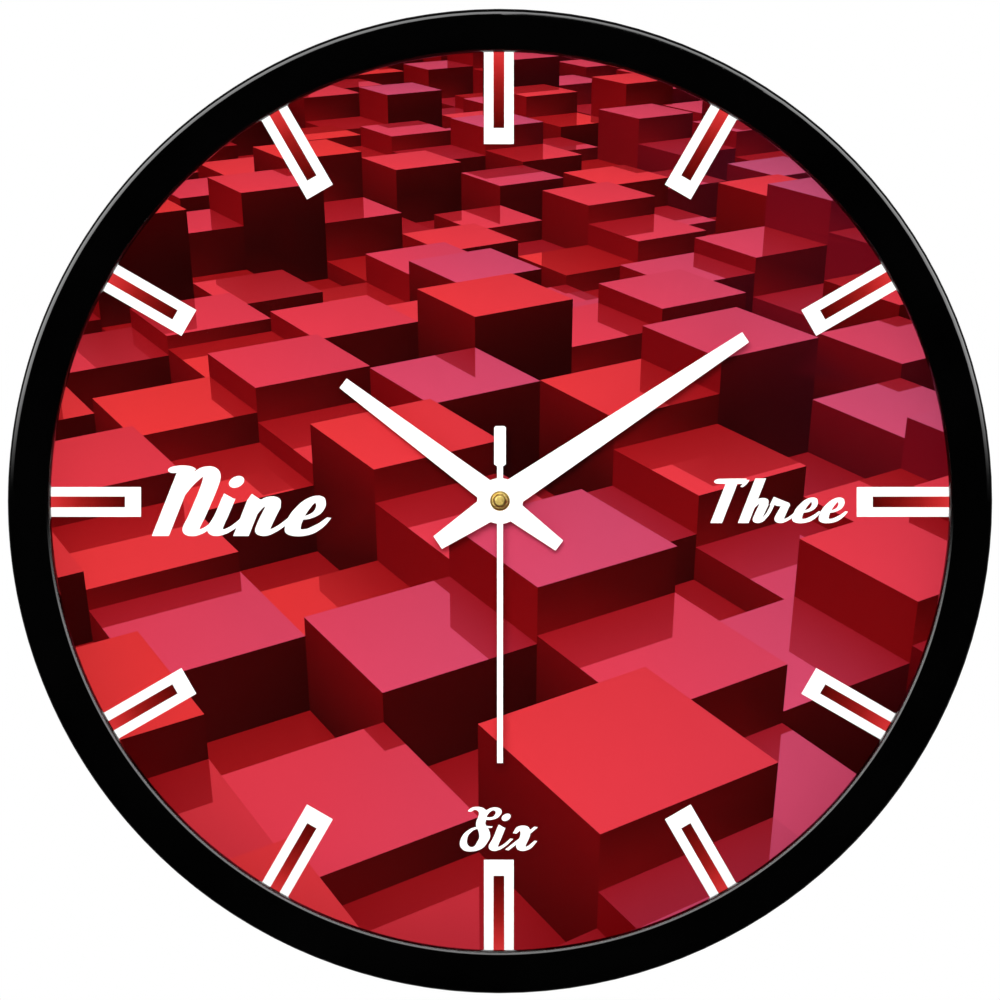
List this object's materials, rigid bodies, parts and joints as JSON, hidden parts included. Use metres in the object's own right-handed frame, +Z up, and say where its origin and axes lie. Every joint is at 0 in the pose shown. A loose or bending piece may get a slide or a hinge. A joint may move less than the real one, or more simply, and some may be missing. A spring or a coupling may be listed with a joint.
{
  "type": "wall clock",
  "caption": "Round analogue quartz wall clock with a deep black rim, flat lens, printed dial, three hands and a battery movement.",
  "frame": {"origin": "where the axis of the hands meets the wall plane, which is the plane of the rim's back edge", "axes": "+Z up, -Y out of the wall towards the viewer (the dial faces -Y), +X to the right as seen from the front"},
  "size_m": [0.3, 0.04, 0.3],
  "materials": {
    "rim": "gloss black",
    "lens": "clear",
    "seal": "soft foam",
    "spacer": "matt black",
    "dial": "printed card",
    "back_case": "moulded black",
    "screw": "zinc plated",
    "hanger": "zinc plated",
    "rubber_washer": "moulded",
    "movement_case": "fine texture",
    "middle_plate": "natural acetal",
    "brass_fitting": "turned",
    "soft_iron": "stamped",
    "bobbin": "natural nylon",
    "winding": "enamelled copper",
    "board": "solder mask",
    "resin": "epoxy",
    "crystal_can": "drawn can",
    "contact": "nickel plated",
    "battery_steel": "nickel plated",
    "battery_sleeve": "plain sleeve",
    "wheel_plastic": "natural acetal",
    "magnet": "sintered",
    "knob": "fluted",
    "hand": "white paint",
    "hand_bush": "turned",
    "cap_brass": "polished"
  },
  "bodies": {
    "case": {"front_frame": "rim", "lens_glass": "lens", "lens_gasket": "seal", "spacer_ring": "spacer", "dial_print": "dial", "back_case": "back_case", "case_screws": "screw", "hanger_plate": "hanger", "hanger_screws": "screw", "rubber_washer": "rubber_washer", "movement_front_case": "movement_case", "movement_back_case": "movement_case", "middle_plate": "middle_plate", "threaded_bushing": "brass_fitting", "bushing_washer": "brass_fitting", "bushing_nut": "brass_fitting", "stator": "soft_iron", "coil_core": "soft_iron", "coil_bobbin": "bobbin", "coil_winding": "winding", "circuit_board": "board", "ic_blob": "resin", "quartz_crystal": "crystal_can", "battery_contact_positive": "contact", "battery_contact_negative": "contact"},
    "minute_hand_assembly": {"minute_hand": "hand", "minute_hand_bush": "hand_bush", "cannon_pinion": "wheel_plastic", "centre_wheel": "wheel_plastic"},
    "hour_hand_assembly": {"hour_hand": "hand", "hour_hand_bush": "hand_bush", "hour_wheel": "wheel_plastic"},
    "second_hand_assembly": {"second_hand": "hand", "second_hand_tube": "cap_brass", "second_hand_cap": "cap_brass", "second_wheel": "wheel_plastic"},
    "minute_wheel_body": {"minute_wheel": "wheel_plastic"},
    "setting_knob_body": {"setting_knob": "knob"},
    "third_wheel_body": {"third_wheel": "wheel_plastic"},
    "intermediate_wheel_body": {"intermediate_wheel": "wheel_plastic"},
    "rotor_body": {"rotor_pinion": "wheel_plastic", "rotor_magnet": "magnet"},
    "battery_body": {"battery_can": "battery_steel", "battery_sleeve": "battery_sleeve"}
  },
  "joints": [
    {"name": "minute_hand_turn", "type": "hinge", "parent": "case", "child": "minute_hand_assembly", "pos_m": [0, -0.02, 0], "axis": [0, 1, 0], "continuous": true},
    {"name": "hour_hand_turn", "type": "hinge", "parent": "case", "child": "hour_hand_assembly", "pos_m": [0, -0.02, 0], "axis": [0, 1, 0], "continuous": true},
    {"name": "second_hand_turn", "type": "hinge", "parent": "case", "child": "second_hand_assembly", "pos_m": [0, -0.02, 0], "axis": [0, 1, 0], "continuous": true},
    {"name": "minute_wheel_turn", "type": "hinge", "parent": "case", "child": "minute_wheel_body", "pos_m": [0.0096, -0.01, 0], "axis": [0, 1, 0], "continuous": true},
    {"name": "setting_knob_turn", "type": "hinge", "parent": "case", "child": "setting_knob_body", "pos_m": [0.01416, -0.01, 0.0079], "axis": [0, 1, 0], "continuous": true},
    {"name": "third_wheel_turn", "type": "hinge", "parent": "case", "child": "third_wheel_body", "pos_m": [-0.009, -0.01, 0], "axis": [0, 1, 0], "continuous": true},
    {"name": "intermediate_wheel_turn", "type": "hinge", "parent": "case", "child": "intermediate_wheel_body", "pos_m": [0, -0.01, 0.007], "axis": [0, 1, 0], "continuous": true},
    {"name": "rotor_turn", "type": "hinge", "parent": "case", "child": "rotor_body", "pos_m": [0.00185, -0.01, 0.01207], "axis": [0, 1, 0], "continuous": true},
    {"name": "battery_slide", "type": "slide", "parent": "case", "child": "battery_body", "axis": [0, 1, 0], "range_m": [0, 0.03]}
  ],
  "couplings": [
    {"joint": "hour_hand_turn", "follows": "minute_hand_turn", "ratio": 0.083333},
    {"joint": "minute_wheel_turn", "follows": "minute_hand_turn", "ratio": -0.33333},
    {"joint": "setting_knob_turn", "follows": "minute_hand_turn", "ratio": 1.25},
    {"joint": "third_wheel_turn", "follows": "minute_hand_turn", "ratio": -8},
    {"joint": "second_hand_turn", "follows": "minute_hand_turn", "ratio": 60},
    {"joint": "intermediate_wheel_turn", "follows": "minute_hand_turn", "ratio": -360},
    {"joint": "rotor_turn", "follows": "minute_hand_turn", "ratio": 1800}
  ]
}
